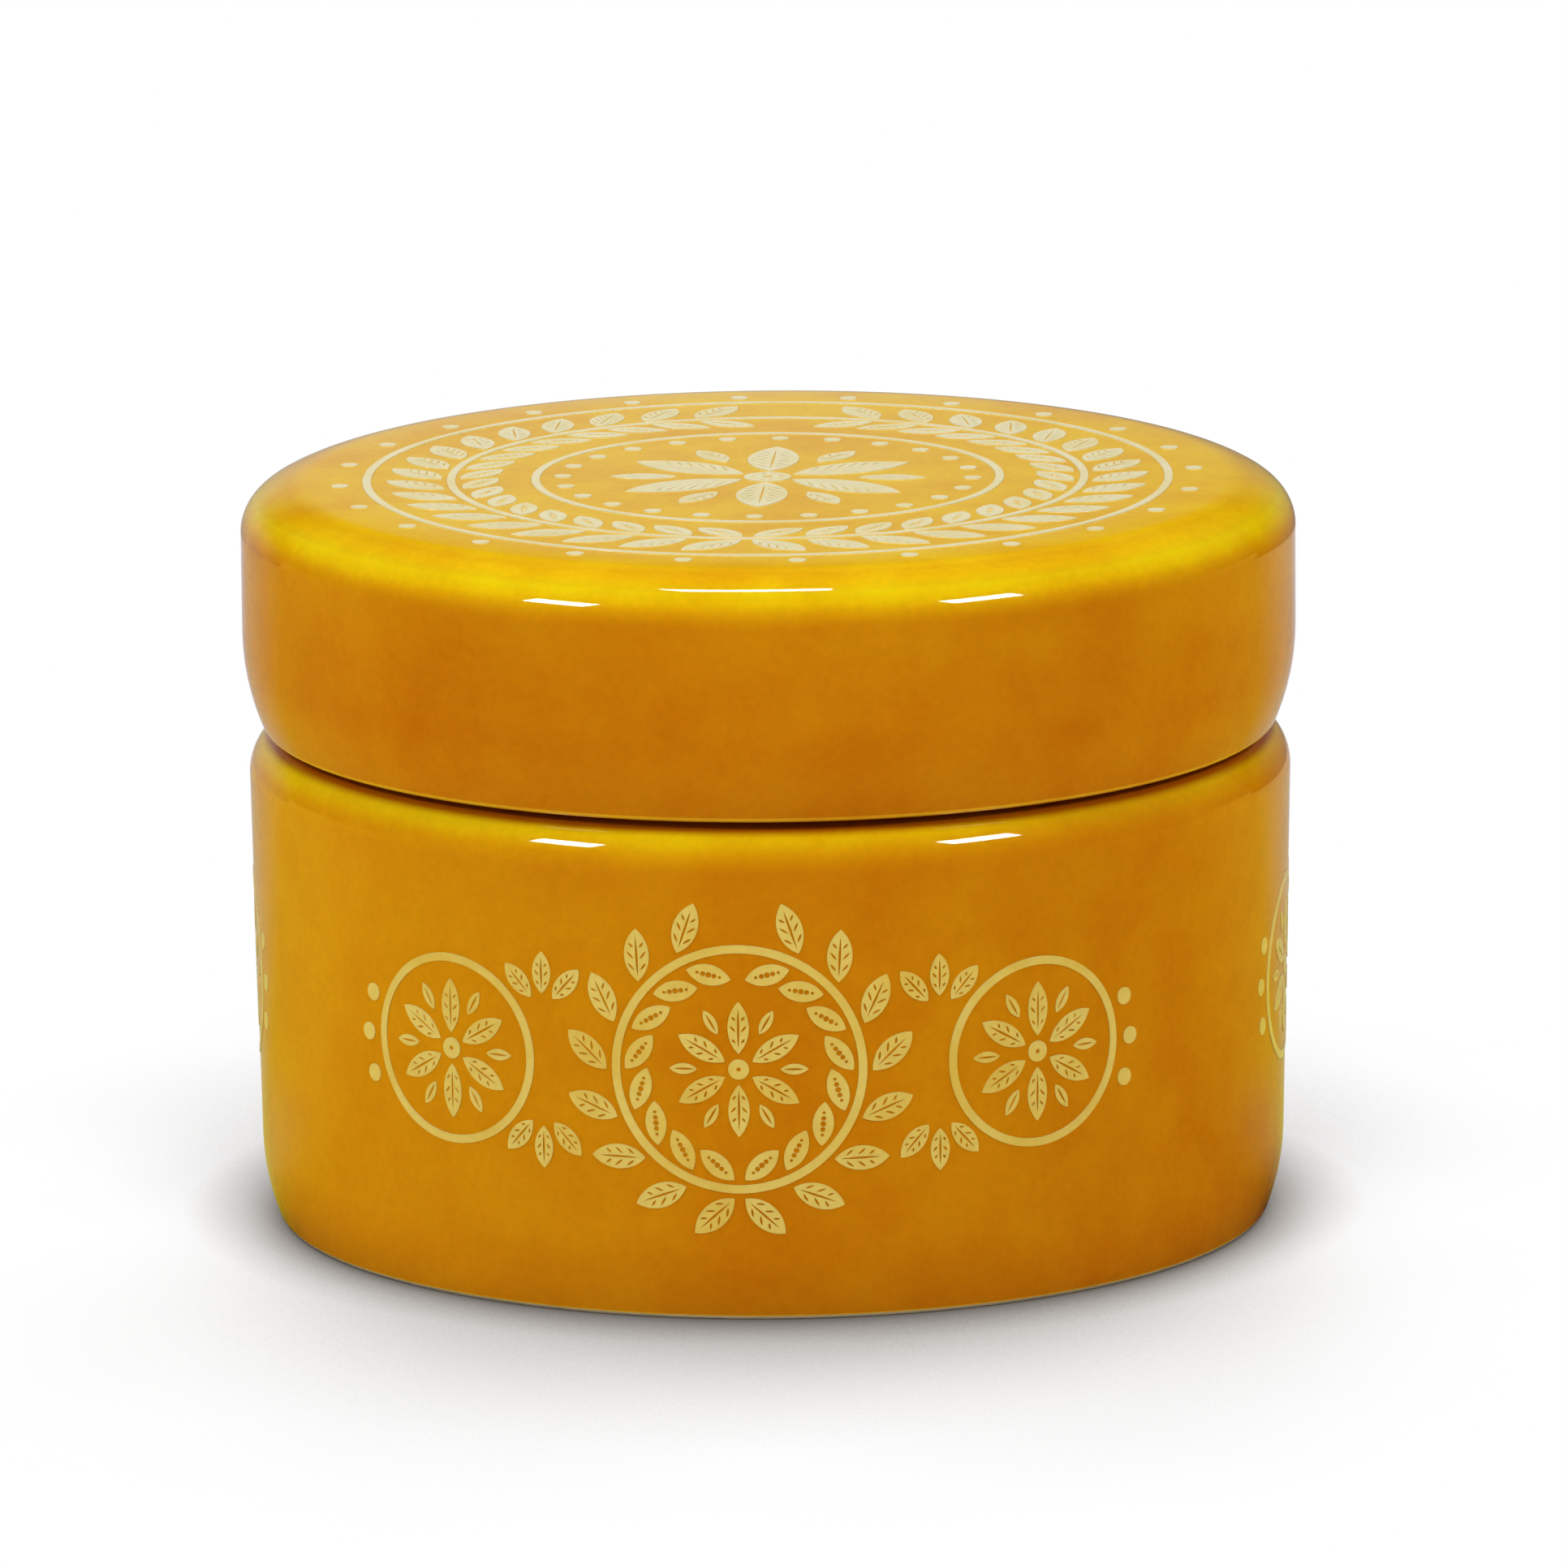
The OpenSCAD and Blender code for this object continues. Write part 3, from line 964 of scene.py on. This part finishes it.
def shadow_tone(nodes):
    """The floor's tone to the camera: white where nothing is near, and a warm shadow by the box."""
    shade = rgb(1, 1, 1)
    for reach, lean, azimuth, tones in floor_shadows:
        tilt = math.radians(lean)
        towards = back_turned(-azimuth) * math.sin(tilt) + Vector((0, 0, math.cos(tilt)))
        inputs = {"Distance": reach, "Normal": nodes.add("CombineXYZ", dict(enumerate(towards)))}
        open_sky = nodes.add("AmbientOcclusion", inputs, "AO", samples=SHADOW_SAMPLES)
        shade = nodes.mix(1.0, nodes.ramp(open_sky, tones), shade, "MULTIPLY")
    return shade


def gloss_tone(nodes, where):
    """The floor's tone to gloss: white behind the box, and warm where the light falls on it."""
    flat = nodes.add("VectorMath", {0: where}, operation="NORMALIZE")
    behind = nodes.dot(flat, BACK)
    near = nodes.product(nodes.span(behind, *GLOSS_NEAR), GLOSS_NEAR_LEVEL)
    far = nodes.product(nodes.span(behind, *GLOSS_FAR), GLOSS_FAR_LEVEL)
    away = nodes.length(where)
    beside = nodes.product(nodes.span(behind, *GLOSS_BESIDE), nodes.span(away, *GLOSS_BESIDE_REACH))
    beside = nodes.math("MULTIPLY_ADD", beside, GLOSS_BESIDE_LEVEL, ROOM_SEEN_IN_GLOSS)
    level = nodes.math("ADD", nodes.math("ADD", near, far), beside)
    warm = nodes.mix(nodes.span(nodes.dot(flat, WARM_SIDE), *GLOSS_WARM), rgb(0, 0, 0), warm_floor)
    return nodes.mix(1.0, warm, nodes.grey(level), "LIGHTEN")


def add_floor():
    """A pale floor that gives the box its shadow, its light from below and what its gloss shows."""
    material, nodes = new_material("floor")
    where = nodes.add("TexCoord", {}, "Object")
    to_camera = nodes.add("Emission", {"Color": shadow_tone(nodes)})
    to_gloss = nodes.add("Emission", {"Color": gloss_tone(nodes, where)})
    to_light = nodes.add("BsdfDiffuse", {"Color": rgb(FLOOR_BOUNCE, FLOOR_BOUNCE, FLOOR_BOUNCE)})
    in_gloss = nodes.add("LightPath", {}, "Is Glossy Ray")
    in_view = nodes.add("LightPath", {}, "Is Camera Ray")
    seen = nodes.add("MixShader", {0: in_gloss, 1: to_light, 2: to_gloss})
    nodes.add("OutputMaterial", {"Surface": nodes.add("MixShader", {0: in_view, 1: seen, 2: to_camera})})
    reach = FLOOR_REACH
    corners = [(-reach, -reach, 0), (reach, -reach, 0), (reach, reach, 0), (-reach, reach, 0)]
    sheet_object("floor", corners, material)


def add_reflector():
    """A low white card behind the box that only its gloss sees, and that fades out towards its top."""
    material, nodes = new_material("reflector")
    where = nodes.add("TexCoord", {}, "Object")
    across = nodes.part(where, "X")
    aside = nodes.math("ABSOLUTE", nodes.math("SUBTRACT", across, CARD_X))
    fade = nodes.span(nodes.part(where, "Z"), CARD_TOP, CARD_FADE_FROM)
    fade = nodes.math("POWER", fade, CARD_FADE_POWER)
    level = nodes.product(fade, CARD_LEVEL, nodes.span(aside, CARD_HALF_W, CARD_FULL_HALF_W))
    kept = nodes.math("MULTIPLY_ADD", nodes.span(across, *CARD_RIGHT), -CARD_RIGHT_LOSS, 1.0)
    level = nodes.product(level, kept)
    shine = nodes.add("Emission", {"Color": rgb(1, 1, 1), "Strength": level})
    nodes.add("OutputMaterial", {"Surface": shine})
    turn = Matrix.Rotation(CAMERA_AZIMUTH, 4, "Z")
    corners = [(-CARD_HALF_W, 0), (CARD_HALF_W, 0), (CARD_HALF_W, CARD_TOP), (-CARD_HALF_W, CARD_TOP)]
    card = sheet_object("reflector", [turn @ Vector((x, CARD_BEHIND, z)) for x, z in corners], material)
    card.visible_camera = False
    card.visible_diffuse = False
    card.visible_shadow = False
    card.visible_transmission = False


glaze = make_glaze()
transfer = make_print()
pieces = [
    ("glazed_base", turned("glazed_base", base_corners, glaze), "base", "base", "mustard_glaze"),
    ("glazed_lid", turned("glazed_lid", lid_corners, glaze), "lid", "lid", "mustard_glaze"),
    ("lid_transfer", printed("lid_transfer", lid_flats(), transfer), "lid", "lid_print", "cream_print"),
]
for turn, side in ((0, "front"), (120, "right"), (240, "left")):
    name = side + "_transfer"
    made = printed(name, wall_flats(turn), transfer)
    pieces.append((name, made, "base", "base_print_" + side, "cream_print"))
for name, made, body, node, slot in pieces:
    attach(made, body)
    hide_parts(node)

add_camera()
add_world()
for name, places in soft_boxes.items():
    add_soft_box(name, *places)
add_floor()
add_reflector()
bpy.context.scene.view_settings.view_transform = "Standard"
